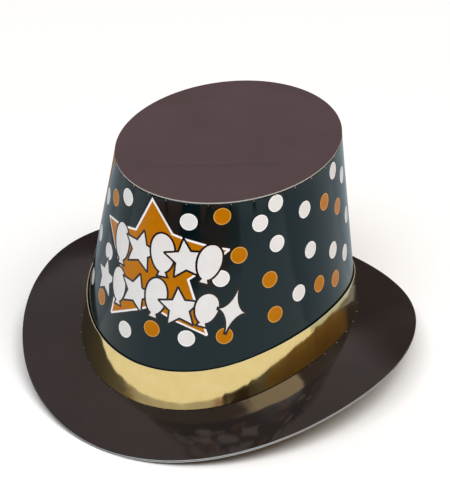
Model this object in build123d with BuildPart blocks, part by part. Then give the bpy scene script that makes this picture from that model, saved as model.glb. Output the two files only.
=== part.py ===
from build123d import *
import os
from math import copysign, cos, pi, sin, sqrt

os.makedirs("parts", exist_ok=True)

# A new year party hat: a top hat folded and glued from thin printed card.
# The brim is bent down at the front and back, and its two rim tips carry the hat.
# +Z is up, the front faces -Y, and the origin is on the surface that the hat stands on,
# under the middle of the brim. All sizes are in millimetres.

# Crown, measured on its outside. Its base sizes are at brow height, where the sides meet the brim.
crown_base_length = 199.4
crown_base_width = 171.0
crown_top_length = 168.4
crown_top_width = 131.6
crown_height = 121.0
crown_top_setback = 2.9

# Brim, as it lies bent over the head.
brim_length = 284.4
brim_width = 254.6
rim_fullness = 1.92
brim_arch_length = 141.4
brim_flank_slope = 0.277

# Card, foil and glue.
side_board = 0.6
top_board = 0.8
brim_board = 0.8
foil_board = 0.35
glue_line = 0.2

# Clearances between pieces that only rest against each other.
edge_clearance = 0.1
seam_slit = 0.3
tab_clearance = 1.6

# Tabs and laps.
band_height = 25.8
side_lap = 14.0
band_lap = 12.0
lap_step = 1.4
top_tab_count = 33
top_tab_depth = 9.0
top_notch_mouth = 3.6
top_notch_root = 1.0
top_nick_depth = 1.0
brim_tab_count = 42
brim_tab_height = 10.0
brim_slit_width = 1.2
glue_margin = 1.5
band_glue_spots = 28
band_spot_width = 9.0
band_spot_height = 12.0

# Insets of each layer's faces from the outside of the crown board.
side_inner = side_board
lap_outer = side_inner + glue_line
lap_inner = lap_outer + side_board
tab_outer = side_inner + glue_line
tab_inner = tab_outer + brim_board
band_inner = -glue_line
band_outer = band_inner - foil_board
band_lap_inner = band_outer - glue_line
band_lap_outer = band_lap_inner - foil_board

# Width left without brim tabs at the back, where the crown's lap lies.
seam_tab_gap = 2 * (side_lap + lap_step + tab_clearance)

# Levels of the brim's layers, as heights above the brow.
upper_under = -brim_board
lower_top = upper_under - glue_line
lower_under = lower_top - brim_board

# The brim's arch: a round middle with a straight flank at each end.
arch_half = brim_arch_length / 2
arch_radius = arch_half * sqrt(1 + brim_flank_slope ** 2) / brim_flank_slope
arch_knee_drop = arch_radius - sqrt(arch_radius ** 2 - arch_half ** 2)
rim_drop = arch_knee_drop + (brim_length / 2 - arch_half) * brim_flank_slope
brow_level = rim_drop - lower_under

# Levels at the top of the crown, as heights above the brow.
top_under = crown_height - top_board
fold_level = top_under - glue_line
fold_under = fold_level - side_board

# Cutting bodies start well under the brim and end well above the crown.
low_reach = -rim_drop - 10.0
high_reach = crown_height + 20.0
side_reach = brim_width
rim_points = 48


def crown_half_width(height):
    """Half the crown's outside width at a height above the brow."""
    share = height / crown_height
    return (crown_base_width * (1 - share) + crown_top_width * share) / 2


def crown_half_length(height):
    """Half the crown's outside length at a height above the brow."""
    share = height / crown_height
    return (crown_base_length * (1 - share) + crown_top_length * share) / 2


def crown_centre(height):
    """How far the crown's middle lies behind the brim's middle at a height."""
    return crown_top_setback * height / crown_height


def crown_oval(height, inset):
    """Sketch of the crown's oval at a height, with its edge moved inwards."""
    with BuildSketch(Plane.XY.offset(brow_level + height)) as oval:
        with Locations((0, crown_centre(height))):
            Ellipse(crown_half_width(height) - inset, crown_half_length(height) - inset)
    return oval.sketch


def crown_body(low, high, inset, mode=Mode.ADD):
    """Tapered oval body between two heights, with its wall moved inwards."""
    loft([crown_oval(low, inset), crown_oval(high, inset)], ruled=True, mode=mode)


def arch_points(level):
    """Front end, front knee, crest, back knee and back end of the arch, in side view."""
    end = brim_length
    knee_level = level - arch_knee_drop
    end_level = knee_level - (end - arch_half) * brim_flank_slope
    return [(-end, end_level), (-arch_half, knee_level), (0, level), (arch_half, knee_level), (end, end_level)]


def arched_body(low, high, mode=Mode.ADD):
    """Body between two copies of the brim's arch, at two heights above the brow."""
    with BuildSketch(Plane.YZ) as side_view:
        with BuildLine():
            for level in (brow_level + low, brow_level + high):
                front_end, front_knee, crest, back_knee, back_end = arch_points(level)
                Line(front_end, front_knee)
                ThreePointArc(front_knee, crest, back_knee)
                Line(back_knee, back_end)
            Line(arch_points(brow_level + low)[0], arch_points(brow_level + high)[0])
            Line(arch_points(brow_level + low)[-1], arch_points(brow_level + high)[-1])
        make_face()
    extrude(side_view.sketch, amount=side_reach, both=True, mode=mode)


def rim_point(turn):
    """Point of the brim's outer edge, an oval drawn in a little at its corners."""
    across = cos(2 * pi * turn)
    along = sin(2 * pi * turn)
    x = copysign(abs(across) ** (2 / rim_fullness), across) * brim_width / 2
    y = copysign(abs(along) ** (2 / rim_fullness), along) * brim_length / 2
    return (x, y)


def rim_body(mode=Mode.ADD):
    """Upright body inside the brim's outer edge."""
    with BuildSketch() as outline:
        with BuildLine():
            Spline([rim_point(step / rim_points) for step in range(rim_points)], periodic=True)
        make_face()
    extrude(outline.sketch, amount=brow_level + high_reach, mode=mode)


def stations(count, height, inset, start):
    """Places evenly spaced round the crown's oval, each with x pointing outwards."""
    edge = Edge.make_ellipse(crown_half_width(height) - inset, crown_half_length(height) - inset)
    places = []
    for step in range(count):
        share = (start + step / count) % 1.0
        point = edge.position_at(share)
        heading = edge.tangent_at(share)
        outward = Vector(heading.Y, -heading.X)
        turn = Vector(1, 0, 0).get_signed_angle(outward, Vector(0, 0, 1))
        spot = Vector(point.X, point.Y + crown_centre(height), 0)
        places.append(Location(spot, (0, 0, turn)))
    return places


def is_clear_of_seam(place):
    """True where a place lies outside the stretch at the back that the lap takes up."""
    return place.position.Y < 0 or abs(place.position.X) > seam_tab_gap / 2


back_quarter = 0.25
half_tab = 0.5
fold_stations = stations(top_tab_count, fold_level, 0, back_quarter + half_tab / top_tab_count)
pad_stations = stations(top_tab_count, fold_level, side_board + top_tab_depth / 2, back_quarter)
slit_stations = [
    place
    for place in stations(brim_tab_count, 0, tab_outer, back_quarter + half_tab / brim_tab_count)
    if is_clear_of_seam(place)
]
spot_stations = [
    place
    for place in stations(brim_tab_count, 0, tab_outer, back_quarter)
    if is_clear_of_seam(place)
]
band_stations = stations(band_glue_spots, 0, 0, back_quarter + half_tab / band_glue_spots)


# Crown side. One printed board rolled round, with its left end stepped in under its right end
# at the back, and a ring of tabs folded inwards along the top.
with BuildPart() as side_step:
    crown_body(low_reach, fold_under, 0)
    crown_body(low_reach, fold_under, lap_inner, mode=Mode.SUBTRACT)
    with Locations((-(seam_slit + lap_step) / 2, crown_base_length / 2, 0)):
        Box(lap_step, crown_base_length, 4 * crown_height, mode=Mode.INTERSECT)

with BuildPart() as side_flap:
    crown_body(low_reach, fold_under, lap_outer)
    crown_body(low_reach, fold_under, lap_inner, mode=Mode.SUBTRACT)
    with Locations((side_lap / 2 - (seam_slit + lap_step) / 2, crown_base_length / 2, 0)):
        Box(side_lap + lap_step, crown_base_length, 4 * crown_height, mode=Mode.INTERSECT)

with BuildPart() as crown_side:
    crown_body(low_reach, fold_level, 0)
    crown_body(low_reach, fold_under, side_inner, mode=Mode.SUBTRACT)
    crown_body(fold_under, fold_level, side_board + top_tab_depth, mode=Mode.SUBTRACT)
    with BuildSketch(Plane.XY.offset(brow_level + fold_under - top_nick_depth)):
        with Locations(*fold_stations):
            Polygon(
                (2 * side_board, -top_notch_root / 2),
                (2 * side_board, top_notch_root / 2),
                (-2 * top_tab_depth, top_notch_mouth),
                (-2 * top_tab_depth, -top_notch_mouth),
                align=None,
            )
    extrude(amount=2 * top_nick_depth + side_board, mode=Mode.SUBTRACT)
    with Locations((0, crown_base_length / 2, brow_level)):
        Box(seam_slit, crown_base_length, 2 * high_reach, mode=Mode.SUBTRACT)
    add(side_step.part)
    add(side_flap.part)
    arched_body(edge_clearance, 2 * high_reach, mode=Mode.INTERSECT)

crown_side.part.label = "crown_side"
export_step(crown_side.part, "parts/crown_side.step")

# Seam glue. A strip between the lap's two layers.
with BuildPart() as crown_seam_glue:
    crown_body(low_reach, fold_under, side_inner)
    crown_body(low_reach, fold_under, lap_outer, mode=Mode.SUBTRACT)
    with Locations((side_lap / 2, crown_base_length / 2, brow_level)):
        Box(side_lap - 2 * glue_margin, crown_base_length, 2 * high_reach, mode=Mode.INTERSECT)
    arched_body(edge_clearance + glue_margin, crown_height - 2 * glue_margin, mode=Mode.INTERSECT)

crown_seam_glue.part.label = "crown_seam_glue"
export_step(crown_seam_glue.part, "parts/crown_seam_glue.step")


# Crown top. A flat oval card laid on the folded tabs, flush with the outside of the side.
with BuildPart() as crown_top:
    extrude(crown_oval(top_under, 0), amount=top_board)

crown_top.part.label = "crown_top"
export_step(crown_top.part, "parts/crown_top.step")


# Crown top glue. One pad on each folded tab.
with BuildPart() as crown_top_glue:
    with BuildSketch(Plane.XY.offset(brow_level + fold_level)) as pads:
        with Locations(*pad_stations):
            Rectangle(top_tab_depth - 2 * glue_margin, top_tab_depth - glue_margin)
    extrude(amount=glue_line)

crown_top_glue.part.label = "crown_top_glue"
export_step(crown_top_glue.part, "parts/crown_top_glue.step")


# Upper brim card. Its tabs are folded up against the inside of the crown.
with BuildPart() as tab_ring:
    crown_body(low_reach, crown_height, tab_outer)
    crown_body(low_reach, crown_height, tab_inner, mode=Mode.SUBTRACT)
    arched_body(upper_under, brim_tab_height, mode=Mode.INTERSECT)
    with Locations(*slit_stations):
        Box(8 * brim_board, brim_slit_width, 4 * crown_height, mode=Mode.SUBTRACT)
    with Locations((0, crown_base_length / 2, 0)):
        Box(seam_tab_gap, crown_base_length, 4 * crown_height, mode=Mode.SUBTRACT)

with BuildPart() as brim_upper:
    arched_body(upper_under, 0)
    rim_body(mode=Mode.INTERSECT)
    crown_body(low_reach, crown_height, tab_inner, mode=Mode.SUBTRACT)
    add(tab_ring.part)

brim_upper.part.label = "brim_upper"
export_step(brim_upper.part, "parts/brim_upper.step")


def brim_layer(low, high):
    """Flat ring of card or glue under the upper brim card, open round the head."""
    arched_body(low, high)
    rim_body(mode=Mode.INTERSECT)
    crown_body(low_reach, crown_height, tab_inner, mode=Mode.SUBTRACT)


# Film of glue between the two brim cards.
with BuildPart() as brim_ply_glue:
    brim_layer(lower_top, upper_under)

brim_ply_glue.part.label = "brim_ply_glue"
export_step(brim_ply_glue.part, "parts/brim_ply_glue.step")


# Lower brim card.
with BuildPart() as brim_lower:
    brim_layer(lower_under, lower_top)

brim_lower.part.label = "brim_lower"
export_step(brim_lower.part, "parts/brim_lower.step")


# Brim tab glue. One spot on each tab, against the inside of the crown.
with BuildPart() as brim_tab_glue:
    crown_body(low_reach, crown_height, side_inner)
    crown_body(low_reach, crown_height, tab_outer, mode=Mode.SUBTRACT)
    arched_body(edge_clearance + glue_margin, brim_tab_height - glue_margin, mode=Mode.INTERSECT)
    with Locations(*spot_stations):
        Box(8 * brim_board, brim_tab_height - 2 * glue_margin, 4 * crown_height, mode=Mode.INTERSECT)

brim_tab_glue.part.label = "brim_tab_glue"
export_step(brim_tab_glue.part, "parts/brim_tab_glue.step")


# Hatband. A foil card strip round the foot of the crown, its right end lapped over its left end.
with BuildPart() as band_step:
    crown_body(low_reach, crown_height, band_lap_outer)
    crown_body(low_reach, crown_height, band_inner, mode=Mode.SUBTRACT)
    with Locations(((seam_slit + lap_step) / 2, crown_base_length / 2, 0)):
        Box(lap_step, crown_base_length, 4 * crown_height, mode=Mode.INTERSECT)

with BuildPart() as band_flap:
    crown_body(low_reach, crown_height, band_lap_outer)
    crown_body(low_reach, crown_height, band_lap_inner, mode=Mode.SUBTRACT)
    with Locations((-band_lap / 2 + (seam_slit + lap_step) / 2, crown_base_length / 2, 0)):
        Box(band_lap + lap_step, crown_base_length, 4 * crown_height, mode=Mode.INTERSECT)

with BuildPart() as hatband:
    crown_body(low_reach, crown_height, band_outer)
    crown_body(low_reach, crown_height, band_inner, mode=Mode.SUBTRACT)
    with Locations((0, crown_base_length / 2, 0)):
        Box(seam_slit, 2 * crown_base_length, 4 * crown_height, mode=Mode.SUBTRACT)
    add(band_step.part)
    add(band_flap.part)
    arched_body(edge_clearance, band_height, mode=Mode.INTERSECT)

hatband.part.label = "hatband"
export_step(hatband.part, "parts/hatband.step")


# Hatband seam glue, between the band's lapped ends.
with BuildPart() as hatband_seam_glue:
    crown_body(low_reach, crown_height, band_lap_inner)
    crown_body(low_reach, crown_height, band_outer, mode=Mode.SUBTRACT)
    with Locations((-band_lap / 2, crown_base_length / 2, brow_level)):
        Box(band_lap - 2 * glue_margin, crown_base_length, 2 * high_reach, mode=Mode.INTERSECT)
    arched_body(edge_clearance + glue_margin, band_height - glue_margin, mode=Mode.INTERSECT)

hatband_seam_glue.part.label = "hatband_seam_glue"
export_step(hatband_seam_glue.part, "parts/hatband_seam_glue.step")


# Hatband glue. Spots between the band and the crown.
with BuildPart() as hatband_glue:
    crown_body(low_reach, crown_height, band_inner)
    crown_body(low_reach, crown_height, 0, mode=Mode.SUBTRACT)
    arched_body((band_height - band_spot_height) / 2, (band_height + band_spot_height) / 2, mode=Mode.INTERSECT)
    with Locations(*band_stations):
        Box(8 * brim_board, band_spot_width, 4 * crown_height, mode=Mode.INTERSECT)

hatband_glue.part.label = "hatband_glue"
export_step(hatband_glue.part, "parts/hatband_glue.step")
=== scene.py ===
import math
import random

import bpy
from mathutils import Matrix, Vector
from mathutils.geometry import delaunay_2d_cdt


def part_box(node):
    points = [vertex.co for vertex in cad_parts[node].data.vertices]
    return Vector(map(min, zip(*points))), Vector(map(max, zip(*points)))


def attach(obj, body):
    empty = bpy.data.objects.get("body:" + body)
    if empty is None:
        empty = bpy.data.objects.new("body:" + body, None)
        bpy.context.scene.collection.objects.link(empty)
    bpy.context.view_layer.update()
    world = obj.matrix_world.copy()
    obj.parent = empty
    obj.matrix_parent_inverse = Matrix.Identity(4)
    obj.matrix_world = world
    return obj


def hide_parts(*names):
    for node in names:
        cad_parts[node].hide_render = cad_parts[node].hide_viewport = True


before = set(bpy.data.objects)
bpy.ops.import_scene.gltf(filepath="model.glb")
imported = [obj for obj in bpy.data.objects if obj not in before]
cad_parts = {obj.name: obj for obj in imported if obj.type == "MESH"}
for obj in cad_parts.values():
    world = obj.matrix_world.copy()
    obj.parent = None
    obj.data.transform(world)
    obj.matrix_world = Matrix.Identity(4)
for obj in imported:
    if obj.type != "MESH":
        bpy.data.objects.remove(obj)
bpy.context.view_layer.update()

# A party top hat of printed card. Lengths are in metres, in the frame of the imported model:
# +Z up, the front of the hat faces -Y. A turn is an angle round the hat, from 0 at the front
# through a quarter turn at +X to half a turn at the seam at the back.

MM = 0.001
FULL_TURN = 2 * math.pi
QUARTER_TURN = math.pi / 2

# Thickness of each card, foil and glue film, and the clearances at a foot and at a butted end.
SIDE_BOARD = 0.6 * MM
TOP_BOARD = 0.8 * MM
BRIM_BOARD = 0.8 * MM
FOIL_BOARD = 0.35 * MM
GLUE_LINE = 0.2 * MM
EDGE_GAP = 0.1 * MM
END_GAP = 0.15 * MM

# Brim: half length of its round arch, slope of the straight flanks beyond it, fullness of its outline,
# and how its sides droop and wave.
ARCH_HALF = 70.7 * MM
FLANK_SLOPE = 0.277
RIM_FULLNESS = 1.92
SIDE_DROOP = 3.7 * MM
SIDE_DROOP_START = 85 * MM
SIDE_DROOP_SPAN = 40 * MM
BRIM_WAVE = 0.5 * MM

# Hatband, laps, and the tabs at the top of the crown and inside the brim.
BAND_HEIGHT = 25.8 * MM
BAND_FOOT = 0.6 * MM
SIDE_LAP = 14 * MM
BAND_LAP = 12 * MM
BAND_GLUE_SPOTS = 28
BAND_SPOT_WIDTH = 9 * MM
BAND_SPOT_HEIGHT = 12 * MM
LAP_STEP = 1.4 * MM
SEAM_TAB_GAP = 2 * (SIDE_LAP + LAP_STEP + 1.6 * MM)
TOP_TABS = 33
TOP_TAB_DEPTH = 9 * MM
TOP_NOTCH_ROOT = 0.9 * MM
TOP_NOTCH_MOUTH = 3.8 * MM
TOP_NICK_DEPTH = 0.35 * MM
FOLD_RADIUS = 0.8 * MM
BRIM_TABS = 42
BRIM_TAB_HEIGHT = 10 * MM
BRIM_SLIT = 0.8 * MM
SLIT_PAST_FOLD = 2.2 * MM

# Places from the frame.
brim_low, brim_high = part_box("brim_lower")
side_low, side_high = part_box("crown_side")
top_low, top_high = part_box("crown_top")
BROW = brim_high.z + GLUE_LINE + BRIM_BOARD
CROWN_HEIGHT = top_high.z - BROW
TOP_UNDER = CROWN_HEIGHT - TOP_BOARD
FOLD_LEVEL = TOP_UNDER - GLUE_LINE
RIM_HALF_WIDTH = (brim_high.x - brim_low.x) / 2
RIM_HALF_LENGTH = (brim_high.y - brim_low.y) / 2


def arch_drop(y):
    """How far the brim's arch lies under its crest at a distance along the hat."""
    radius = ARCH_HALF * math.sqrt(1 + FLANK_SLOPE ** 2) / FLANK_SLOPE
    along = abs(y)
    round_part = min(along, ARCH_HALF)
    flank_part = max(along - ARCH_HALF, 0)
    return radius - math.sqrt(radius ** 2 - round_part ** 2) + flank_part * FLANK_SLOPE


def line_through(height_a, value_a, height_b, value_b):
    """Straight line of a value over height."""
    slope = (value_b - value_a) / (height_b - height_a)
    return lambda height: value_a + slope * (height - height_a)


# The crown's outer wall in side and front view, from the frame's own corners.
crown_front = line_through(-arch_drop(side_low.y) + EDGE_GAP, side_low.y, TOP_UNDER, top_low.y)
crown_back = line_through(-arch_drop(side_high.y) + EDGE_GAP, side_high.y, TOP_UNDER, top_high.y)
crown_side_line = line_through(EDGE_GAP, side_high.x, TOP_UNDER, top_high.x)

# A place along a flat board is its turn round the hat times this radius, near that of the crown's foot.
SHEET_RADIUS = 90 * MM


def smooth_step(low, high, value):
    """0 below low, 1 above high, and a smooth rise between."""
    share = min(max((value - low) / (high - low), 0), 1)
    return share * share * (3 - 2 * share)


def crown_swell(turn, height):
    """Slight hollows of the rolled crown wall, up to a third of a millimetre, and none at its top."""
    slow = 0.22 * math.sin(2 * turn + 0.6) + 0.16 * math.sin(3 * turn - 1.1 + 9 * height)
    quick = 0.05 * math.sin(7 * turn + 31 * height) + 0.035 * math.sin(11 * turn - 23 * height + 0.7)
    fade = smooth_step(0, 30 * MM, height + 20 * MM) * smooth_step(0, 25 * MM, CROWN_HEIGHT - height)
    return -abs(slow + quick) * MM * fade * 0.7


def wall_point(turn, height, outset=0.0):
    """Point on the crown's wall, or on a layer that lies outset from it."""
    half_width = crown_side_line(height) + outset
    front = crown_front(height) - outset
    back = crown_back(height) + outset
    swell = crown_swell(turn, height)
    centre = (front + back) / 2
    half_length = (back - front) / 2 + swell
    half_width += swell
    return Vector((half_width * math.sin(turn), centre - half_length * math.cos(turn), BROW + height))


def foot_height(turn, lift, outset=0.0):
    """Height at which a wall layer meets the brim, or a copy of the brim raised by lift."""
    height = 0.0
    for _ in range(8):
        height = lift - arch_drop(wall_point(turn, height, outset).y)
    return height


def wall_speed(turn, height):
    """Length along the wall per radian of turn."""
    half_width = crown_side_line(height)
    half_length = (crown_back(height) - crown_front(height)) / 2
    return math.hypot(half_width * math.cos(turn), half_length * math.sin(turn))


def walk(turn, height, across):
    """Turn reached by going a length across the wall at one height."""
    steps = 6
    for _ in range(steps):
        turn += across / steps / wall_speed(turn, height)
    return turn


# ---------------------------------------------------------------------------
# Card: a sheet given by its face points, thickened into a closed piece.


def card(name, points, normals, faces, face_slots, thickness, slots, back, edge):
    """Closed piece of card from its face: each face slot, the back and the cut edge have a material.

    points and normals are those of the face, and the back lies thickness behind it.
    """
    count = len(points)
    vertices = list(points) + [p - n * thickness for p, n in zip(points, normals)]
    polygons = [tuple(face) for face in faces]
    polygons += [tuple(corner + count for corner in reversed(face)) for face in faces]
    polygon_slots = list(face_slots) + [back] * len(faces)
    corner_normals = [normals[corner] for face in faces for corner in face]
    corner_normals += [-normals[corner] for face in faces for corner in reversed(face)]
    half_edges = {(face[i], face[(i + 1) % len(face)]) for face in faces for i in range(len(face))}
    for start, end in half_edges:
        if (end, start) in half_edges:
            continue
        polygons.append((end, start, start + count, end + count))
        polygon_slots.append(edge)
        along = points[end] - points[start]
        outward = along.cross(normals[start]).normalized()
        corner_normals += [outward] * 4
    mesh = bpy.data.meshes.new(name)
    mesh.from_pydata(vertices, [], polygons)
    for material in slots:
        mesh.materials.append(material)
    mesh.polygons.foreach_set("material_index", polygon_slots)
    mesh.polygons.foreach_set("use_smooth", [True] * len(polygons))
    mesh.update()
    mesh.normals_split_custom_set(corner_normals)
    piece = bpy.data.objects.new(name, mesh)
    bpy.context.scene.collection.objects.link(piece)
    return piece


def place_normal(place, u, v, step_u, step_v):
    """Normal of a mapped sheet, from small steps on its map: u runs to the right and v up."""
    across = place(u + step_u, v) - place(u - step_u, v)
    up = place(u, v + step_v) - place(u, v - step_v)
    return across.cross(up).normalized()


def grid_faces(columns, rows, closed=False, keep=None):
    """Quads of a grid of points listed row by row."""
    faces = []
    for row in range(rows - 1):
        for column in range(columns if closed else columns - 1):
            if keep and not keep(column, row):
                continue
            right = (column + 1) % columns
            low, high = row * columns, (row + 1) * columns
            faces.append((low + column, low + right, high + right, high + column))
    return faces


def mapped_sheet(place, us, vs, closed=False, flip=False):
    """Points, normals and faces of a sheet mapped from rows and columns of places."""
    step_u = abs(us[1] - us[0]) / 4
    step_v = abs(vs[1] - vs[0]) / 4
    spots = [(u, v) for v in vs for u in us]
    points = [place(u, v) for u, v in spots]
    normals = [place_normal(place, u, v, step_u, step_v) for u, v in spots]
    faces = grid_faces(len(us), len(vs), closed)
    if flip:
        normals = [-normal for normal in normals]
        faces = [tuple(reversed(face)) for face in faces]
    return points, normals, faces


def evenly(low, high, count):
    """Numbers from low to high in even steps."""
    return [low + (high - low) * step / (count - 1) for step in range(count)]


def joined(sheets):
    """Several sheets as one."""
    points, normals, faces = [], [], []
    for sheet_points, sheet_normals, sheet_faces in sheets:
        first = len(points)
        points += sheet_points
        normals += sheet_normals
        faces += [tuple(corner + first for corner in face) for face in sheet_faces]
    return points, normals, faces


def tidy_points(points, normals, faces):
    """The same sheet without the points that no face uses."""
    used = sorted({corner for face in faces for corner in face})
    place = {old: new for new, old in enumerate(used)}
    return (
        [points[old] for old in used],
        [normals[old] for old in used],
        [tuple(place[corner] for corner in face) for face in faces],
    )


# ---------------------------------------------------------------------------
# Materials.

# A noise's values mostly lie between these two, and its blotches are as wide as the size it is given.
NOISE_LOW = 0.3
NOISE_HIGH = 0.7

# How much of a noise's finer blotches shows, the same for every surface.
NOISE_CRISPNESS = 0.55

# Sockets of a mix node set to colours: the colour it starts from, the one it ends at, and its output.
MIX_FROM, MIX_TO, MIX_COLOUR = 6, 7, 2


def colour(text):
    """Linear colour from an sRGB hex value."""
    parts = [int(text[i:i + 2], 16) / 255 for i in (0, 2, 4)]
    return tuple(c / 12.92 if c <= 0.04045 else ((c + 0.055) / 1.055) ** 2.4 for c in parts) + (1.0,)


def add_node(tree, kind, sockets=None, **settings):
    """One node with its settings, and its sockets set, or linked to an output or a node's first output."""
    new = tree.nodes.new(kind)
    for name, value in settings.items():
        setattr(new, name, value)
    for socket, value in (sockets or {}).items():
        if isinstance(value, bpy.types.Node):
            value = value.outputs[0]
        if isinstance(value, bpy.types.NodeSocket):
            tree.links.new(value, new.inputs[socket])
        else:
            new.inputs[socket].default_value = value
    return new


def start_material(name):
    """Empty node material, its tree, and the coordinates of the piece it is on, in metres."""
    material = bpy.data.materials.new(name)
    material.use_nodes = True
    tree = material.node_tree
    tree.nodes.clear()
    place = add_node(tree, "ShaderNodeTexCoord").outputs["Object"]
    return material, tree, place


def varnished_ink(name, low, high, roughness, tint="FFFFFF"):
    """Offset ink on coated board under a gloss varnish: deep colour with clear reflections.

    The ink lies a little unevenly, in clouds about 6 mm across. The varnished board is not quite
    flat, in waves about 14 mm long, so that reflections swim. Its fibres are 0.05 mm wide, and are
    drawn 0.7 mm wide to show as a faint tooth in the gloss. The ink tints what the varnish reflects.
    """
    material, tree, place = start_material(name)
    mottle = add_node(tree, "ShaderNodeTexNoise", {
        "Vector": place, "Scale": 1 / (6 * MM), "Detail": 3.0, "Roughness": NOISE_CRISPNESS})
    tone = add_node(tree, "ShaderNodeMapRange", {
        "Value": mottle, "From Min": NOISE_LOW, "From Max": NOISE_HIGH})
    ink = add_node(tree, "ShaderNodeMix", {
        "Factor": tone, MIX_FROM: colour(low), MIX_TO: colour(high)}, data_type="RGBA")
    gloss_range = add_node(tree, "ShaderNodeMapRange", {
        "Value": tone, "To Min": roughness - 0.02, "To Max": roughness + 0.03})
    waves = add_node(tree, "ShaderNodeTexNoise", {
        "Vector": place, "Scale": 1 / (14 * MM), "Detail": 1.0, "Roughness": NOISE_CRISPNESS})
    wavy = add_node(tree, "ShaderNodeBump", {"Height": waves, "Distance": 0.06 * MM})
    fibres = add_node(tree, "ShaderNodeTexNoise", {
        "Vector": place, "Scale": 1 / (0.7 * MM), "Detail": 2.0, "Roughness": NOISE_CRISPNESS})
    tooth = add_node(tree, "ShaderNodeBump", {
        "Height": fibres, "Distance": 0.004 * MM, "Normal": wavy})
    shader = add_node(tree, "ShaderNodeBsdfPrincipled", {
        "Base Color": ink.outputs[MIX_COLOUR],
        "Roughness": gloss_range,
        "IOR": 1.4,
        "Specular Tint": colour(tint),
        "Normal": tooth,
    })
    add_node(tree, "ShaderNodeOutputMaterial", {"Surface": shader})
    return material


def satin_board():
    """Matt-laminated black-brown board: a soft broad sheen, a little uneven from handling.

    The print is a shade uneven over about 38 mm, and the card sags in waves about 20 mm long. The
    film follows the board's fibres, 0.05 mm wide, drawn 1.1 mm wide to show as a grain in the sheen.
    """
    material, tree, place = start_material("satin_laminated_board")
    patch = add_node(tree, "ShaderNodeTexNoise", {
        "Vector": place, "Scale": 1 / (38 * MM), "Detail": 2.0, "Roughness": NOISE_CRISPNESS})
    tone = add_node(tree, "ShaderNodeMapRange", {
        "Value": patch, "From Min": NOISE_LOW, "From Max": NOISE_HIGH})
    ink = add_node(tree, "ShaderNodeMix", {
        "Factor": tone, MIX_FROM: colour("413133"), MIX_TO: colour("48363A")}, data_type="RGBA")
    grain = add_node(tree, "ShaderNodeTexNoise", {
        "Vector": place, "Scale": 1 / (1.1 * MM), "Detail": 4.0, "Roughness": NOISE_CRISPNESS})
    sheen = add_node(tree, "ShaderNodeMapRange", {
        "Value": grain, "From Min": NOISE_LOW, "From Max": NOISE_HIGH, "To Min": 0.36, "To Max": 0.46})
    waves = add_node(tree, "ShaderNodeTexNoise", {
        "Vector": place, "Scale": 1 / (20 * MM), "Detail": 1.0, "Roughness": NOISE_CRISPNESS})
    wavy = add_node(tree, "ShaderNodeBump", {"Height": waves, "Distance": 0.12 * MM})
    tooth = add_node(tree, "ShaderNodeBump", {
        "Height": grain, "Distance": 0.008 * MM, "Normal": wavy})
    shader = add_node(tree, "ShaderNodeBsdfPrincipled", {
        "Base Color": ink.outputs[MIX_COLOUR],
        "Roughness": sheen,
        "IOR": 1.5,
        "Normal": tooth,
    })
    add_node(tree, "ShaderNodeOutputMaterial", {"Surface": shader})
    return material


def gloss_board():
    """Gloss-laminated black-brown board: a mirror-like film over card that is slightly wavy.

    The waves are about 24 mm long. The film is smooth, with a bloom of fine scratches and dust
    about 0.1 mm wide, drawn 1.6 mm wide to show as a faint unevenness of the reflections.
    """
    material, tree, place = start_material("gloss_laminated_board")
    patch = add_node(tree, "ShaderNodeTexNoise", {
        "Vector": place, "Scale": 1 / (30 * MM), "Detail": 2.0, "Roughness": NOISE_CRISPNESS})
    tone = add_node(tree, "ShaderNodeMapRange", {
        "Value": patch, "From Min": NOISE_LOW, "From Max": NOISE_HIGH})
    ink = add_node(tree, "ShaderNodeMix", {
        "Factor": tone, MIX_FROM: colour("1B1716"), MIX_TO: colour("221C1B")}, data_type="RGBA")
    bloom = add_node(tree, "ShaderNodeTexNoise", {
        "Vector": place, "Scale": 1 / (1.6 * MM), "Detail": 3.0, "Roughness": NOISE_CRISPNESS})
    blur = add_node(tree, "ShaderNodeMapRange", {
        "Value": bloom, "From Min": NOISE_LOW, "From Max": NOISE_HIGH, "To Min": 0.06, "To Max": 0.09})
    waves = add_node(tree, "ShaderNodeTexNoise", {
        "Vector": place, "Scale": 1 / (24 * MM), "Detail": 1.0, "Roughness": NOISE_CRISPNESS})
    wavy = add_node(tree, "ShaderNodeBump", {"Height": waves, "Distance": 0.16 * MM})
    tooth = add_node(tree, "ShaderNodeBump", {
        "Height": bloom, "Distance": 0.003 * MM, "Normal": wavy})
    shader = add_node(tree, "ShaderNodeBsdfPrincipled", {
        "Base Color": ink.outputs[MIX_COLOUR],
        "Roughness": blur,
        "IOR": 1.5,
        "Specular Tint": colour("FFEFE6"),
        "Normal": tooth,
    })
    add_node(tree, "ShaderNodeOutputMaterial", {"Surface": shader})
    return material


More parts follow.
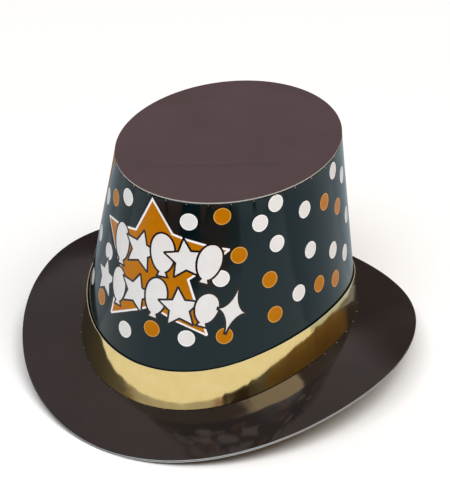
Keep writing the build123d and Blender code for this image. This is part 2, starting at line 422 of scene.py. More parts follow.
def gold_foil():
    """Metallised polyester film on thin card, tinted gold: sharp bright reflections, lightly creased.

    Creases run up and down the band, about 5 mm apart and as long as it is high. The film's own
    dimples are 0.2 mm wide, drawn 0.9 mm wide to show as a faint ripple of the reflections.
    """
    material, tree, place = start_material("gold_metallised_foil")
    cloud = add_node(tree, "ShaderNodeTexNoise", {
        "Vector": place, "Scale": 1 / (9 * MM), "Detail": 2.0, "Roughness": NOISE_CRISPNESS})
    tone = add_node(tree, "ShaderNodeMapRange", {
        "Value": cloud, "From Min": NOISE_LOW, "From Max": NOISE_HIGH})
    gold = add_node(tree, "ShaderNodeMix", {
        "Factor": tone, MIX_FROM: colour("CFBC80"), MIX_TO: colour("D6C389")}, data_type="RGBA")
    blur = add_node(tree, "ShaderNodeMapRange", {"Value": tone, "To Min": 0.05, "To Max": 0.09})
    upright = add_node(tree, "ShaderNodeMapping", {"Vector": place, "Scale": (1, 1, 0.15)})
    creases = add_node(tree, "ShaderNodeTexNoise", {
        "Vector": upright, "Scale": 1 / (5 * MM), "Detail": 2.0, "Roughness": NOISE_CRISPNESS})
    creased = add_node(tree, "ShaderNodeBump", {"Height": creases, "Distance": 0.04 * MM})
    dimples = add_node(tree, "ShaderNodeTexNoise", {
        "Vector": place, "Scale": 1 / (0.9 * MM), "Detail": 2.0, "Roughness": NOISE_CRISPNESS})
    dimpled = add_node(tree, "ShaderNodeBump", {
        "Height": dimples, "Distance": 0.007 * MM, "Normal": creased})
    shader = add_node(tree, "ShaderNodeBsdfPrincipled", {
        "Base Color": gold.outputs[MIX_COLOUR],
        "Metallic": 1.0,
        "Roughness": blur,
        "Normal": dimpled,
    })
    add_node(tree, "ShaderNodeOutputMaterial", {"Surface": shader})
    return material


def bare_board(name, low, high, flock):
    """Uncoated side or cut edge of pressed paper board: matt, soft to the eye, with flecks of fibre.

    The fibres are 0.05 mm wide, and are drawn in flocks of the width given, so that they show.
    """
    material, tree, place = start_material(name)
    fibres = add_node(tree, "ShaderNodeTexNoise", {
        "Vector": place, "Scale": 1 / flock, "Detail": 5.0, "Roughness": NOISE_CRISPNESS})
    tone = add_node(tree, "ShaderNodeMapRange", {
        "Value": fibres, "From Min": NOISE_LOW, "From Max": NOISE_HIGH})
    paper = add_node(tree, "ShaderNodeMix", {
        "Factor": tone, MIX_FROM: colour(low), MIX_TO: colour(high)}, data_type="RGBA")
    matt = add_node(tree, "ShaderNodeMapRange", {"Value": tone, "To Min": 0.8, "To Max": 0.95})
    nap = add_node(tree, "ShaderNodeBump", {"Height": fibres, "Distance": 0.03 * MM})
    shader = add_node(tree, "ShaderNodeBsdfPrincipled", {
        "Base Color": paper.outputs[MIX_COLOUR],
        "Roughness": matt,
        "Specular IOR Level": 0.25,
        "Normal": nap,
    })
    add_node(tree, "ShaderNodeOutputMaterial", {"Surface": shader})
    return material


def hot_glue():
    """Set hot-melt glue, squeezed flat: milky amber and softly shiny, clouded about every 2 mm."""
    material, tree, place = start_material("hot_melt_glue")
    cloud = add_node(tree, "ShaderNodeTexNoise", {
        "Vector": place, "Scale": 1 / (2 * MM), "Detail": 3.0, "Roughness": NOISE_CRISPNESS})
    tone = add_node(tree, "ShaderNodeMapRange", {
        "Value": cloud, "From Min": NOISE_LOW, "From Max": NOISE_HIGH})
    amber = add_node(tree, "ShaderNodeMix", {
        "Factor": tone, MIX_FROM: colour("CDBF96"), MIX_TO: colour("DDD2B0")}, data_type="RGBA")
    blur = add_node(tree, "ShaderNodeMapRange", {"Value": tone, "To Min": 0.3, "To Max": 0.45})
    lumps = add_node(tree, "ShaderNodeBump", {"Height": cloud, "Distance": 0.05 * MM})
    shader = add_node(tree, "ShaderNodeBsdfPrincipled", {
        "Base Color": amber.outputs[MIX_COLOUR],
        "Roughness": blur,
        "Subsurface Weight": 0.2,
        "Subsurface Radius": (2 * MM, 1.5 * MM, 1 * MM),
        "Normal": lumps,
    })
    add_node(tree, "ShaderNodeOutputMaterial", {"Surface": shader})
    return material


def studio_floor():
    """Rolled white studio paper: matt and even, with a paper tooth drawn 1.5 mm wide."""
    material, tree, place = start_material("studio_paper")
    tooth = add_node(tree, "ShaderNodeTexNoise", {
        "Vector": place, "Scale": 1 / (1.5 * MM), "Detail": 3.0, "Roughness": NOISE_CRISPNESS})
    tone = add_node(tree, "ShaderNodeMapRange", {
        "Value": tooth, "From Min": NOISE_LOW, "From Max": NOISE_HIGH})
    paper = add_node(tree, "ShaderNodeMix", {
        "Factor": tone, MIX_FROM: colour("F3F3F3"), MIX_TO: colour("F7F7F7")}, data_type="RGBA")
    matt = add_node(tree, "ShaderNodeMapRange", {"Value": tone, "To Min": 0.85, "To Max": 0.95})
    shader = add_node(tree, "ShaderNodeBsdfPrincipled", {
        "Base Color": paper.outputs[MIX_COLOUR],
        "Roughness": matt,
        "Specular IOR Level": 0.1,
    })
    add_node(tree, "ShaderNodeOutputMaterial", {"Surface": shader})
    return material


# Slots of the printed board, in the order of their names.
BLACK, WHITE, WHITE_RIM_HIGHLIGHT, GOLD, GOLD_RIM, OUTLINE, BARE, CORE = range(8)
print_slots = [
    # Blue-black process ink: the ground of the crown, with the clearest reflections.
    varnished_ink("varnished_black_ink", "031012", "051215", 0.11, "CDECF9"),
    # Bare white of the coated board under varnish: dots and icons.
    varnished_ink("varnished_white_board", "D5D5D5", "DADADB", 0.16),
    # The same white, painted lighter where a thin line of it frames a dot: a painted highlight along the
    # ink's edge.
    varnished_ink("varnished_white_rim_painted_highlight", "E6E6E7", "EBEBEC", 0.16),
    # Flat amber ink that stands for gold, with no metal in it.
    varnished_ink("varnished_amber_ink", "AA6600", "B06C02", 0.16, "E8B458"),
    # A pale line where the amber stops short of the black and the board shows through.
    varnished_ink("varnished_amber_rim", "BE8A3E", "C8954A", 0.16, "F0CC90"),
    # Neutral black keyline round the icons, flatter than the ground.
    varnished_ink("varnished_black_keyline", "060707", "0A0B0B", 0.13),
    # Grey-beige recycled back of the board, seen inside the hat.
    bare_board("unprinted_board_back", "C9C4B9", "D6D2C8", 1.2 * MM),
    # Guillotined edge of the board, a shade darker than the back.
    bare_board("cut_board_edge", "9A9690", "BFBBB5", 0.5 * MM),
]


# ---------------------------------------------------------------------------
# Crown side: the printed board as a flat cut sheet with tabs, folded and rolled onto the crown.


# Rows of points across the bend of a tab, from its start to its end.
FOLD_ROWS = [0.0, 0.25, 0.5, 0.75, 1.0]


def crown_sheet_place(u, v):
    """Point of the hat for a point of the flat board: u along it and v up it."""
    turn = u / SHEET_RADIUS
    under = smooth_step(0, LAP_STEP, -math.pi * SHEET_RADIUS - u)
    outset = -under * (SIDE_BOARD + GLUE_LINE)
    fold_start = FOLD_LEVEL - FOLD_RADIUS
    bend = v - fold_start
    if bend <= 0:
        return wall_point(turn, v, outset)
    angle = min(bend / FOLD_RADIUS, QUARTER_TURN)
    flat_run = max(bend - FOLD_RADIUS * QUARTER_TURN, 0)
    inward = FOLD_RADIUS * (1 - math.cos(angle)) + flat_run
    point = wall_point(turn, fold_start, outset - inward)
    point.z += FOLD_RADIUS * math.sin(angle)
    return point


def crown_board_outline():
    """Outline of the flat board: curved foot, plain ends, and a row of tabs along the top."""
    left = -math.pi * SHEET_RADIUS - SIDE_LAP
    right = math.pi * SHEET_RADIUS - END_GAP
    seam = -math.pi * SHEET_RADIUS + END_GAP
    fold_start = FOLD_LEVEL - FOLD_RADIUS
    tip = fold_start + FOLD_RADIUS * QUARTER_TURN + TOP_TAB_DEPTH - FOLD_RADIUS
    steps = 200
    outline = []
    for step in range(steps + 1):
        u = left + (right - left) * step / steps
        outline.append((u, foot_height(u / SHEET_RADIUS, EDGE_GAP)))
    pitch = FULL_TURN * SHEET_RADIUS / TOP_TABS
    bend_levels = [fold_start + FOLD_RADIUS * QUARTER_TURN * share for share in FOLD_ROWS]
    for tab in range(TOP_TABS):
        high_u = right - tab * pitch
        low_u = max(right - (tab + 1) * pitch, seam)
        root = TOP_NOTCH_ROOT / 2
        mouth = TOP_NOTCH_MOUTH / 2
        outline.append((high_u - root, fold_start - TOP_NICK_DEPTH))
        outline += [(high_u - root, level) for level in bend_levels]
        outline.append((high_u - mouth, tip))
        outline += [(high_u - mouth - (pitch - 2 * mouth) * share, tip) for share in FOLD_ROWS[1:-1]]
        outline.append((low_u + mouth, tip))
        outline += [(low_u + root, level) for level in reversed(bend_levels)]
        outline.append((low_u + root, fold_start - TOP_NICK_DEPTH))
    outline.append((left, fold_start - TOP_NICK_DEPTH))
    return outline


def placed(turn_degrees, height_mm, outline, tilt_degrees=0.0):
    """Outline in millimetres, tilted and laid on the flat board round a point of the crown."""
    tilt = math.radians(tilt_degrees)
    turn = math.radians(turn_degrees)
    result = []
    for x, y in outline:
        across = (x * math.cos(tilt) - y * math.sin(tilt)) * MM
        up = (x * math.sin(tilt) + y * math.cos(tilt)) * MM
        height = height_mm * MM + up
        result.append((walk(turn, height, across) * SHEET_RADIUS, height))
    return result


def disc(radius, points=28):
    """Round outline in millimetres."""
    return [
        (radius * math.cos(FULL_TURN * step / points), radius * math.sin(FULL_TURN * step / points))
        for step in range(points)
    ]


def grown(outline, margin):
    """Outline with its sides moved outwards by a margin, blunt where a corner is very sharp."""
    count = len(outline)
    result = []
    for i in range(count):
        before, here, after = (Vector(outline[(i + k) % count]) for k in (-1, 0, 1))
        arrive = (here - before).normalized()
        leave = (after - here).normalized()
        normal_in = Vector((arrive.y, -arrive.x))
        normal_out = Vector((leave.y, -leave.x))
        share = 1 + normal_in.dot(normal_out)
        if share < 0.45 and arrive.cross(leave) > 0:
            result.append(tuple(here + (normal_in + arrive) * margin))
            result.append(tuple(here + (normal_out - leave) * margin))
        else:
            result.append(tuple(here + (normal_in + normal_out) * margin / share))
    return result


def star(points, outer, inner):
    """Star standing on two of its points."""
    return [
        (radius * math.sin(math.pi * step / points), radius * math.cos(math.pi * step / points))
        for step in range(2 * points)
        for radius in [inner if step % 2 else outer]
    ][::-1]


def sparkle(width, height):
    """Four-pointed twinkle with hollow sides."""
    outline = []
    for step in range(40):
        turn = FULL_TURN * step / 40
        x, y = math.cos(turn), math.sin(turn)
        across = math.copysign(abs(x) ** 3.2, x) * width / 2
        up = math.copysign(abs(y) ** 3.2, y) * height / 2
        outline.append((across, up))
    return outline


def balloon(width, height):
    """Party balloon with its knot."""
    outline = []
    knot = 0.09 * height
    for step in range(33):
        turn = -QUARTER_TURN + 0.22 + (FULL_TURN - 0.44) * step / 32
        narrow = 1 - 0.16 * (1 - math.sin(turn)) / 2
        across = math.cos(turn) * width / 2 * narrow
        outline.append((across, math.sin(turn) * (height - knot) / 2 + knot / 2))
    foot = -height / 2
    return outline + [(-0.16 * width, foot), (0.16 * width, foot)]


# Dots round the front as (turn in degrees, height in millimetres), rounded to even numbers.
WHITE_DOTS = [
    (-20, 110), (18, 108), (60, 114), (52, 104), (76, 102), (60, 88), (78, 74), (94, 62), (106, 50),
    (100, 112), (112, 100), (114, 70), (34, 72), (70, 50), (-10, 26), (20, 32), (-30, 66), (-44, 94),
    (-46, 66), (-46, 34),
]
GOLD_DOTS = [
    (-32, 102), (34, 112), (42, 86), (56, 66), (58, 42), (90, 98), (102, 86), (82, 48), (94, 42),
    (4, 34), (36, 34), (-30, 34),
]
DOT_RADIUS = 5.4
DOT_RIM = 0.6

# Where the scattered dots may lie, in the same units, how near each other, and how many are tried.
FREE_TURNS = (120, 312)
DOT_HEIGHTS = (30, 113)
DOT_SPACING = 18.5
DOT_TRIES = 9000

# About the crown's mean radius at its foot, in millimetres, and the share of the height it loses above it.
FOOT_RADIUS = 92
TAPER = 1 / 7

# The big star's corners in whole millimetres from its middle, a little uneven.
STAR = [
    (-4, 45), (-14, 22), (-46, 15), (-24, -6), (-29, -39),
    (3, -21), (38, -35), (23, 0), (45, 19), (11, 27),
]
STAR_PLACE = (1, 71)
STAR_RIM = 1.3
STAR_KEYLINE = 2.0
ICON_KEYLINE = 1.35

# Two rows of party icons over the star: turn and height of each, its outline and its tilt.
ICONS = [
    (-19.5, 79.5, balloon(15, 26), 8),
    (-6.5, 82, star(5, 12.5, 6), -6),
    (6, 84, balloon(16.5, 27), 4),
    (17.5, 83.5, star(5, 12.5, 6), 8),
    (28.5, 81.5, balloon(15.5, 25), -14),
    (-29, 48.5, star(5, 12, 5.8), 4),
    (-17.5, 51.5, balloon(13.5, 24), 6),
    (-6.5, 54, star(5, 12, 5.8), -10),
    (4.5, 55, balloon(15, 26), -4),
    (16, 51.5, star(5, 12.5, 6), 6),
    (28, 51.5, balloon(15, 21.5), -14),
    (39, 50, sparkle(17, 29), -16),
]


def scattered_dots(shown):
    """More dots for the rest of the crown, as far apart as those at the front."""
    dice = random.Random(4)
    found = list(shown)
    added = []
    for _ in range(DOT_TRIES):
        turn = dice.uniform(*FREE_TURNS)
        height = dice.uniform(*DOT_HEIGHTS)
        close = False
        radius = FOOT_RADIUS - height * TAPER
        for other_turn, other_height in found:
            gap = (turn - other_turn + 180) % 360 - 180
            across = math.radians(gap) * radius
            if math.hypot(across, height - other_height) < DOT_SPACING:
                close = True
                break
        if not close:
            found.append((turn, height))
            added.append((turn, height))
    return added


def print_shapes():
    """Printed shapes in the order they lie, each an outline on the flat board with its slot."""
    shapes = []

    def dot(turn, height, rim, fill):
        shapes.append((placed(turn, height, disc(DOT_RADIUS)), rim))
        shapes.append((placed(turn, height, disc(DOT_RADIUS - DOT_RIM)), fill))

    # Each white dot is framed by a rim of white painted lighter, a painted highlight.
    for turn, height in WHITE_DOTS:
        dot(turn, height, WHITE_RIM_HIGHLIGHT, WHITE)
    for turn, height in GOLD_DOTS:
        dot(turn, height, GOLD_RIM, GOLD)
    for index, (turn, height) in enumerate(scattered_dots(WHITE_DOTS + GOLD_DOTS)):
        turn = (turn + 180) % 360 - 180
        if index % 5 < 3:
            dot(turn, height, WHITE_RIM_HIGHLIGHT, WHITE)
        else:
            dot(turn, height, GOLD_RIM, GOLD)
    turn, height = STAR_PLACE
    shapes.append((placed(turn, height, grown(STAR, STAR_KEYLINE)), OUTLINE))
    # The star's white rim is painted lighter than the white board, a painted highlight.
    shapes.append((placed(turn, height, grown(STAR, STAR_RIM)), WHITE_RIM_HIGHLIGHT))
    shapes.append((placed(turn, height, STAR), GOLD))
    for turn, height, outline, tilt in ICONS:
        shapes.append((placed(turn, height, grown(outline, ICON_KEYLINE), tilt), OUTLINE))
        shapes.append((placed(turn, height, outline, tilt), WHITE))
    return shapes


def make_crown_side():
    """Printed crown board, cut, creased and rolled."""
    outline = crown_board_outline()
    shapes = [(outline, BLACK)] + print_shapes()
    spots, rings = [], []
    for ring, _ in shapes:
        rings.append(list(range(len(spots), len(spots) + len(ring))))
        spots += [Vector(spot) for spot in ring]
    left = -math.pi * SHEET_RADIUS - SIDE_LAP
    right = math.pi * SHEET_RADIUS
    columns, rows = 210, 12
    fold_start = FOLD_LEVEL - FOLD_RADIUS
    for column in range(1, columns):
        u = left + (right - left) * column / columns
        foot = foot_height(u / SHEET_RADIUS, EDGE_GAP)
        for row in range(1, rows):
            spots.append(Vector((u, foot + (fold_start - foot) * row / rows)))
    fold_columns = 2 * columns
    for share in FOLD_ROWS:
        level = fold_start + FOLD_RADIUS * QUARTER_TURN * share
        for column in range(fold_columns):
            spots.append(Vector((left + (right - left) * (column + 0.5) / fold_columns, level)))
    flat, _, faces, _, _, owners = delaunay_2d_cdt(spots, [], rings, 1, 1e-7)
    kept = [(tuple(face), owner) for face, owner in zip(faces, owners) if 0 in owner]
    spots = [(spot.x, spot.y) for spot in flat]
    points = [crown_sheet_place(u, v) for u, v in spots]
    fine = 0.05 * MM
    normals = [place_normal(crown_sheet_place, u, v, fine, fine) for u, v in spots]
    inks = [shapes[max(owner)][1] for _, owner in kept]
    points, normals, faces = tidy_points(points, normals, [face for face, _ in kept])
    piece = card("crown_side_board", points, normals, faces, inks, SIDE_BOARD, print_slots, BARE, CORE)
    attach(piece, "root")
    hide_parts("crown_side")


make_crown_side()


# ---------------------------------------------------------------------------
# Crown top.


def top_dish(x, y):
    """Height of the top card over its flat: a shallow sag and one faint crease across it."""
    top_half_width = (top_high.x - top_low.x) / 2
    top_half_length = (top_high.y - top_low.y) / 2
    share = min((x / top_half_width) ** 2 + ((y - (top_low.y + top_high.y) / 2) / top_half_length) ** 2, 1)
    sag = -0.35 * MM * (1 - share) ** 2
    crease = -0.16 * MM * math.exp(-((y - 0.75 * x + 36 * MM) / (2.5 * MM)) ** 2) * (1 - share)
    return sag + crease


def top_place(turn, share):
    """Point of the top card's face, from its middle to its edge."""
    centre = (top_low.y + top_high.y) / 2
    x = (top_high.x - top_low.x) / 2 * share * math.sin(turn)
    y = centre - (top_high.y - top_low.y) / 2 * share * math.cos(turn)
    return Vector((x, y, top_high.z + top_dish(x, y)))


def make_crown_top():
    """Oval top card, a little sagged between the tabs that carry it."""
    turns = [FULL_TURN * step / 132 for step in range(132)]
    shares = [0.02] + evenly(0.06, 1, 24)
    points, normals, faces = mapped_sheet(top_place, turns, shares, closed=True, flip=True)
    points.append(top_place(0, 0))
    normals.append(Vector((0, 0, 1)))
    hub = len(points) - 1
    faces += [(column, (column + 1) % len(turns), hub) for column in range(len(turns))]
    slots = [satin_board(), print_slots[BARE], print_slots[CORE]]
    piece = card("crown_top_card", points, normals, faces, [0] * len(faces), TOP_BOARD, slots, 1, 2)
    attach(piece, "root")
    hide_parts("crown_top")


make_crown_top()


# ---------------------------------------------------------------------------
# Brim cards.


def rim_point(turn):
    """Point of the brim's outer edge in plan."""
    across, along = math.sin(turn), -math.cos(turn)
    x = math.copysign(abs(across) ** (2 / RIM_FULLNESS), across) * RIM_HALF_WIDTH
    y = math.copysign(abs(along) ** (2 / RIM_FULLNESS), along) * RIM_HALF_LENGTH
    return x, y


def brim_surface(x, y, turn, share):
    """Height of the brim's upper face: arch, drooping sides and slight waves towards the rim."""
    side = max(abs(x) - SIDE_DROOP_START, 0) / SIDE_DROOP_SPAN
    wave = 0.35 * math.sin(3 * turn + 0.8) + 0.25 * math.sin(5 * turn - 0.5) + 0.15 * math.sin(8 * turn + 2)
    wave *= BRIM_WAVE * share ** 2 * abs(math.sin(turn)) ** 0.5
    return BROW - arch_drop(y) - SIDE_DROOP * side ** 2 + wave


def brim_place(turn, share, under=0.0):
    """Point of a brim layer, from the fold at the head to the rim."""
    inset = SIDE_BOARD + GLUE_LINE
    foot = wall_point(turn, foot_height(turn, 0, -inset), -inset)
    rim_x, rim_y = rim_point(turn)
    x = foot.x + (rim_x - foot.x) * share
    y = foot.y + (rim_y - foot.y) * share
    return Vector((x, y, brim_surface(x, y, turn, share) - under))


COLUMNS_PER_TAB = 9


def brim_columns():
    """Turns of the columns, with a narrow column at each slit between tabs."""
    turns, slits = [], set()
    slit_half = BRIM_SLIT / 2 / SHEET_RADIUS
    pitch = FULL_TURN / BRIM_TABS
    for tab in range(BRIM_TABS):
        slit = pitch * (tab + 0.5)
        slits.add(len(turns))
        turns += [slit - slit_half, slit + slit_half]
        for step in range(1, COLUMNS_PER_TAB):
            turns.append(slit + slit_half + (pitch - 2 * slit_half) * step / COLUMNS_PER_TAB)
    return turns, slits


def make_brim_card(name, under, tabs, slots, node):
    """One brim card with its own thickness, with or without tabs folded up inside the crown."""
    turns, slits = brim_columns()
    columns = len(turns)
    inset = SIDE_BOARD + GLUE_LINE
    tab_rows = [1.0, 0.75, 0.5, 0.25, 0.06] if tabs else []
    brim_reach = 45 * MM
    shares = [0.0, SLIT_PAST_FOLD / brim_reach] + evenly(0.06, 1, 19)[1:]
    points, normals = [], []
    fine_turn, fine_share = 0.002, 0.01

    def tab_place(turn, height):
        return wall_point(turn, height, -inset)

    for row in tab_rows:
        for turn in turns:
            height = foot_height(turn, 0, -inset) + BRIM_TAB_HEIGHT * row
            points.append(tab_place(turn, height))
            normals.append(place_normal(tab_place, turn, height, fine_turn, MM))
    for share in shares:
        for turn in turns:
            points.append(brim_place(turn, share, under))
            normal = place_normal(brim_place, turn, share, fine_turn, fine_share)
            normals.append(normal if normal.z > 0 else -normal)
    if tabs:
        fold = len(tab_rows) * columns
        for corner in range(fold, fold + columns):
            normals[corner] = (normals[corner] + normals[corner - columns]).normalized()
    rows = len(tab_rows) + len(shares)
    slit_rows = len(tab_rows) + 1 if tabs else 0
    seam_turn = SEAM_TAB_GAP / 2 / SHEET_RADIUS

    def keep(column, row):
        in_slit = column in slits and row < slit_rows
        turn = (turns[column] + math.pi) % FULL_TURN - math.pi
        at_seam = abs(abs(turn) - math.pi) < seam_turn and row < len(tab_rows)
        return not in_slit and not at_seam

    faces = []
    for face in grid_faces(columns, rows, closed=True, keep=keep):
        a, b, c = (points[corner] for corner in face[:3])
        agreement = (b - a).cross(c - a).dot(normals[face[0]] + normals[face[2]])
        faces.append(face if agreement > 0 else tuple(reversed(face)))
    points, normals, faces = tidy_points(points, normals, faces)
    piece = card(name, points, normals, faces, [0] * len(faces), BRIM_BOARD, slots, 1, 2)
    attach(piece, "root")
    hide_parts(node)


gloss = gloss_board()
brim_edge = bare_board("cut_brim_edge", "9DA3A6", "C4C9CB", 0.5 * MM)
make_brim_card("brim_upper_card", 0.0, True, [gloss, print_slots[BARE], brim_edge], "brim_upper")
backing = bare_board("black_backing_paper", "1B1816", "262220", 1.0 * MM)
make_brim_card("brim_lower_card", BRIM_BOARD + GLUE_LINE, False, [gloss, backing, brim_edge], "brim_lower")


# ---------------------------------------------------------------------------
# Hatband.


# Kinks across the band: turn of each, and how far it stands out in millimetres.
BAND_KINKS = [(0.62, 0.09), (0.80, 0.07), (-0.75, 0.06), (1.32, 0.07), (2.6, 0.09), (-2.1, -0.07)]


def band_place(u, v):
    """Point of the band's foil face: u along it and v up it."""
    turn = u / SHEET_RADIUS
    over = smooth_step(0, LAP_STEP, u - math.pi * SHEET_RADIUS)
    stand_off = 0.6 * MM * v * (1 + 0.15 * math.sin(5 * turn + 1))
    buckle = 0.04 * math.sin(23 * turn + 2 * v + 1.3) + 0.022 * math.sin(37 * turn - 3 * v)
    buckle += 0.012 * math.sin(61 * turn + 4 * v + 0.4)
    for kink_turn, kink in BAND_KINKS:
        buckle += kink * math.exp(-((turn - kink_turn - 0.02 * v) / 0.018) ** 2)
    stand_off += max(0.6 * buckle + 0.1, 0) * MM
    outset = GLUE_LINE + FOIL_BOARD + over * (GLUE_LINE + FOIL_BOARD) + stand_off
    lift = BAND_FOOT + (BAND_HEIGHT - BAND_FOOT) * v
    height = foot_height(turn, lift, outset)
    return wall_point(turn, height, outset)


def make_hatband():
    """Foil card strip with its right end lapped over its left end at the back."""
    left = -math.pi * SHEET_RADIUS + END_GAP
    right = math.pi * SHEET_RADIUS + BAND_LAP
    points, normals, faces = mapped_sheet(band_place, evenly(left, right, 560), evenly(0, 1, 7))
    slots = [gold_foil(), print_slots[BARE], bare_board("foil_card_edge", "CBBF9C", "E0D6B8", 0.4 * MM)]
    piece = card("hatband_foil", points, normals, faces, [0] * len(faces), FOIL_BOARD, slots, 1, 2)
    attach(piece, "root")
    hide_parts("hatband")


make_hatband()


# ---------------------------------------------------------------------------
# Glue, hidden in the joints.


# How far glue stays inside the edges of what it joins, and where a lap lies flat past its step.
GLUE_MARGIN = 1.5 * MM
STEP_END = LAP_STEP + 0.3 * MM


def wall_film(outset):
    """Map of a glue film that lies outset from the crown's face: turn, and height over the brim."""

    def place(turn, height):
        return wall_point(turn, foot_height(turn, 0, outset) + height, outset)

    return place


def patches(place, rectangles, columns=5, rows=3):
    """Films of glue on one map, given by their sides: left, right, bottom and top."""
    return joined([
        mapped_sheet(place, evenly(left, right, columns), evenly(bottom, top, rows))
        for left, right, bottom, top in rectangles
    ])


def glue_piece(name, node, sheet):
    """Glue in one kind of joint."""
    points, normals, faces = sheet
    piece = card(name, points, normals, faces, [0] * len(faces), GLUE_LINE, [glue], 0, 0)
    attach(piece, "root")
    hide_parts(node)


def make_brim_glue():
    """Film between the brim's two cards, and a spot on each tab that is clear of the crown's lap."""

    def ply_place(turn, share):
        return brim_place(turn, share, BRIM_BOARD)

    around = evenly(0, FULL_TURN, 4 * BRIM_TABS + 1)[:-1]
    ply = mapped_sheet(ply_place, around, evenly(0.04, 0.98, 16), closed=True, flip=True)
    glue_piece("brim_ply_glue_film", "brim_ply_glue", ply)

    pitch = FULL_TURN / BRIM_TABS
    half = pitch / 2 - (0.75 * BRIM_SLIT + GLUE_MARGIN) / SHEET_RADIUS
    clear_turn = math.pi - SEAM_TAB_GAP / 2 / SHEET_RADIUS
    middles = [pitch * tab - math.pi for tab in range(BRIM_TABS)]
    spots = [
        (middle - half, middle + half, GLUE_MARGIN, BRIM_TAB_HEIGHT - GLUE_MARGIN)
        for middle in middles
        if abs(middle) + half < clear_turn
    ]
    glue_piece("brim_tab_glue_spots", "brim_tab_glue", patches(wall_film(-SIDE_BOARD), spots))


def make_crown_glue():
    """Strip in the crown's lap, and a spot on each tab under the top card."""
    left = -math.pi - (SIDE_LAP - GLUE_MARGIN) / SHEET_RADIUS
    right = -math.pi - STEP_END / SHEET_RADIUS
    lap = [(left, right, 3 * MM, CROWN_HEIGHT - 5 * MM)]
    glue_piece("crown_seam_glue_strip", "crown_seam_glue", patches(wall_film(-SIDE_BOARD), lap, 4, 12))

    def flange_place(turn, inward):
        point = wall_point(turn, FOLD_LEVEL - FOLD_RADIUS, -inward)
        point.z = BROW + TOP_UNDER + top_dish(point.x, point.y)
        return point

    pitch = FULL_TURN / TOP_TABS
    half = pitch / 2 - (TOP_NOTCH_MOUTH / 2 + GLUE_MARGIN) / SHEET_RADIUS
    middles = [pitch * (tab + 0.5) for tab in range(TOP_TABS)]
    spots = [(middle - half, middle + half, 1.8 * MM, TOP_TAB_DEPTH - GLUE_MARGIN) for middle in middles]
    glue_piece("crown_top_glue_spots", "crown_top_glue", patches(flange_place, spots))


def make_band_glue():
    """Spots between hatband and crown, and a strip in the band's lap."""
    pitch = FULL_TURN / BAND_GLUE_SPOTS
    half = BAND_SPOT_WIDTH / 2 / SHEET_RADIUS
    low = (BAND_HEIGHT - BAND_SPOT_HEIGHT) / 2
    high = (BAND_HEIGHT + BAND_SPOT_HEIGHT) / 2
    middles = [pitch * (spot + 0.5) for spot in range(BAND_GLUE_SPOTS)]
    spots = [(middle - half, middle + half, low, high) for middle in middles]
    glue_piece("hatband_glue_spots", "hatband_glue", patches(wall_film(GLUE_LINE), spots))

    left = math.pi + STEP_END / SHEET_RADIUS
    right = math.pi + (BAND_LAP - GLUE_MARGIN) / SHEET_RADIUS
    strip = [(left, right, GLUE_MARGIN, BAND_HEIGHT - GLUE_MARGIN)]
    film = wall_film(2 * GLUE_LINE + FOIL_BOARD)
    glue_piece("hatband_seam_glue_strip", "hatband_seam_glue", patches(film, strip, 4, 4))


glue = hot_glue()
make_brim_glue()
make_crown_glue()
make_band_glue()


# ---------------------------------------------------------------------------
# Floor, light and camera.

FLOOR_HALF = 40.0


def make_floor():
    """Sheet of paper so large that its edges are never seen."""
    half = FLOOR_HALF
    mesh = bpy.data.meshes.new("studio_floor")
    corners = [(-half, -half, 0), (half, -half, 0), (half, half, 0), (-half, half, 0)]
    mesh.from_pydata(corners, [], [(0, 1, 2, 3)])
    mesh.materials.append(studio_floor())
    floor = bpy.data.objects.new("studio_floor", mesh)
    bpy.context.scene.collection.objects.link(floor)


make_floor()


def softbox(name, place, aim, width, height, power):
    """Rectangular soft light at a place, turned to a point."""
    lamp = bpy.data.lights.new(name, "AREA")
    lamp.shape = "RECTANGLE"
    lamp.size = width
    lamp.size_y = height
    lamp.energy = power
    holder = bpy.data.objects.new(name, lamp)
    turned = (Vector(aim) - Vector(place)).to_track_quat("-Z", "Y").to_matrix().to_4x4()
    holder.matrix_world = Matrix.Translation(place) @ turned
    bpy.context.scene.collection.objects.link(holder)


# Both lights are large and far off, so that the paper is evenly white and shadows stay faint.
HAT_MIDDLE = (0, 0, 0.08)
softbox("front_softbox", (0.2, -3.2, 4.6), HAT_MIDDLE, 3.4, 2.6, 150)
softbox("side_softbox", (2.5, -0.7, 5.0), HAT_MIDDLE, 4.0, 3.4, 190)


def facing(azimuth_degrees, elevation_degrees):
    """Unit vector to a place in the room: azimuth from the front (-Y) towards +X."""
    azimuth, elevation = math.radians(azimuth_degrees), math.radians(elevation_degrees)
    level = math.cos(elevation)
    return Vector((level * math.sin(azimuth), -level * math.cos(azimuth), math.sin(elevation)))


ROOM_TONE = "A4A2A0"
# Azimuth and elevation of a patch, the half angles where it is full and where it ends, and its tone.
ROOM_PATCHES = [
    (-150, 56, 14, 34, "CEC7C7"),
    (-150, 6, 14, 28, "50423F"),
    (-118, 14, 12, 24, "59504B"),
    (176, 20, 14, 30, "6F615D"),
    (28, 8, 28, 44, "3F352C"),
    (92, 18, 12, 22, "CEA465"),
    (118, 18, 13, 24, "E2B369"),
    (142, 17, 14, 26, "DAAA65"),
]


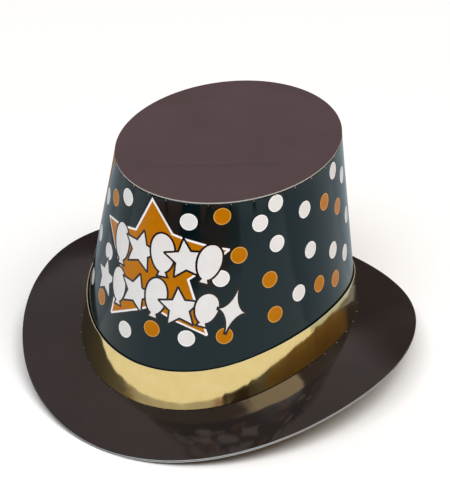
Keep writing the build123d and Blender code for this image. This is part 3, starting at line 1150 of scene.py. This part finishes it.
def make_room():
    """Dim room round the table: soft patches of wall, darker or warmer than the rest."""
    room = bpy.data.worlds.new("studio_room")
    room.use_nodes = True
    tree = room.node_tree
    tree.nodes.clear()
    look = add_node(tree, "ShaderNodeTexCoord").outputs["Generated"]
    wall = colour(ROOM_TONE)
    for azimuth, elevation, inner, outer, paint in ROOM_PATCHES:
        near = add_node(tree, "ShaderNodeVectorMath", {
            0: look, 1: facing(azimuth, elevation)}, operation="DOT_PRODUCT")
        share = add_node(tree, "ShaderNodeMapRange", {
            "Value": near.outputs["Value"],
            "From Min": math.cos(math.radians(outer)),
            "From Max": math.cos(math.radians(inner)),
        }, interpolation_type="SMOOTHSTEP")
        blend = add_node(tree, "ShaderNodeMix", {
            "Factor": share, MIX_FROM: wall, MIX_TO: colour(paint)}, data_type="RGBA")
        wall = blend.outputs[MIX_COLOUR]
    air = add_node(tree, "ShaderNodeBackground", {"Color": wall})
    add_node(tree, "ShaderNodeOutputWorld", {"Surface": air})
    bpy.context.scene.world = room


make_room()


def table_patch(name, azimuths, distances, lift, low, high):
    """Patch of the table that shows only in the gloss of the hat, as the room beyond the paper does.

    It lies between two azimuths and two distances from the hat, and its lift puts it over another.
    """
    turns = evenly(azimuths[0], azimuths[1], 25)
    ring = [facing(turn, 0) * distances[0] for turn in turns]
    ring += [facing(turn, 0) * distances[1] for turn in reversed(turns)]
    mesh = bpy.data.meshes.new(name)
    mesh.from_pydata([point + Vector((0, 0, lift)) for point in ring], [], [tuple(range(len(ring)))])
    mesh.materials.append(bare_board(name, low, high, 30 * MM))
    panel = bpy.data.objects.new(name, mesh)
    bpy.context.scene.collection.objects.link(panel)
    panel.visible_camera = False
    panel.visible_diffuse = False
    panel.visible_shadow = False


table_patch("warm_wood_in_front", (-32, 50), (0.45, 1.6), 0.4 * MM, "D8703C", "FF8C58")
table_patch("dim_wood_in_front", (50, 62), (0.47, 1.6), 0.4 * MM, "A88C78", "BCA08A")
table_patch("dark_wood_beyond", (-32, 96), (0.585, 1.8), 0.6 * MM, "3A2C22", "4A382A")
table_patch("dark_gap_in_front", (6, 26), (0.43, 1.6), 0.8 * MM, "0C0A08", "15110E")
table_patch("grey_paper_at_left", (-172, -84), (0.13, 0.6), 0.4 * MM, "9AA9B2", "A7B6BF")
table_patch("pale_paper_at_left", (-84, -56), (0.13, 0.6), 0.4 * MM, "BCC9D0", "C6D2D8")
table_patch("warm_wood_at_left", (-152, -116), (0.19, 0.6), 0.8 * MM, "8E5E3A", "B0815C")
table_patch("pale_paper_at_right", (100, 150), (0.13, 0.6), 0.4 * MM, "BCC9D0", "C6D2D8")
table_patch("grey_paper_at_right", (150, 200), (0.13, 0.6), 0.4 * MM, "A5B4BD", "AFBFC8")


def place_camera():
    """Camera on a tripod in front of the hat, to its left and above it, slightly rolled."""
    azimuth_degrees = 29.85
    elevation_degrees = 32.23
    azimuth = math.radians(azimuth_degrees)
    roll = math.radians(2.17)
    distance = 1.241
    lens_to_long_side = 3.817
    back = facing(azimuth_degrees, elevation_degrees)
    right = Vector((math.cos(azimuth), math.sin(azimuth), 0))
    up = back.cross(right)
    target = Vector((0, 0, BROW + 50 * MM)) + right * 1.1 * MM - up * 10.0 * MM
    rolled_right = right * math.cos(roll) + up * math.sin(roll)
    rolled_up = up * math.cos(roll) - right * math.sin(roll)
    axes = Matrix((rolled_right, rolled_up, back)).transposed().to_4x4()
    data = bpy.data.cameras.new("camera")
    data.sensor_width = 36
    data.lens = lens_to_long_side * data.sensor_width
    camera = bpy.data.objects.new("camera", data)
    camera.matrix_world = Matrix.Translation(target + back * distance) @ axes
    bpy.context.scene.collection.objects.link(camera)
    bpy.context.scene.camera = camera


place_camera()
bpy.context.scene.view_settings.view_transform = "Standard"
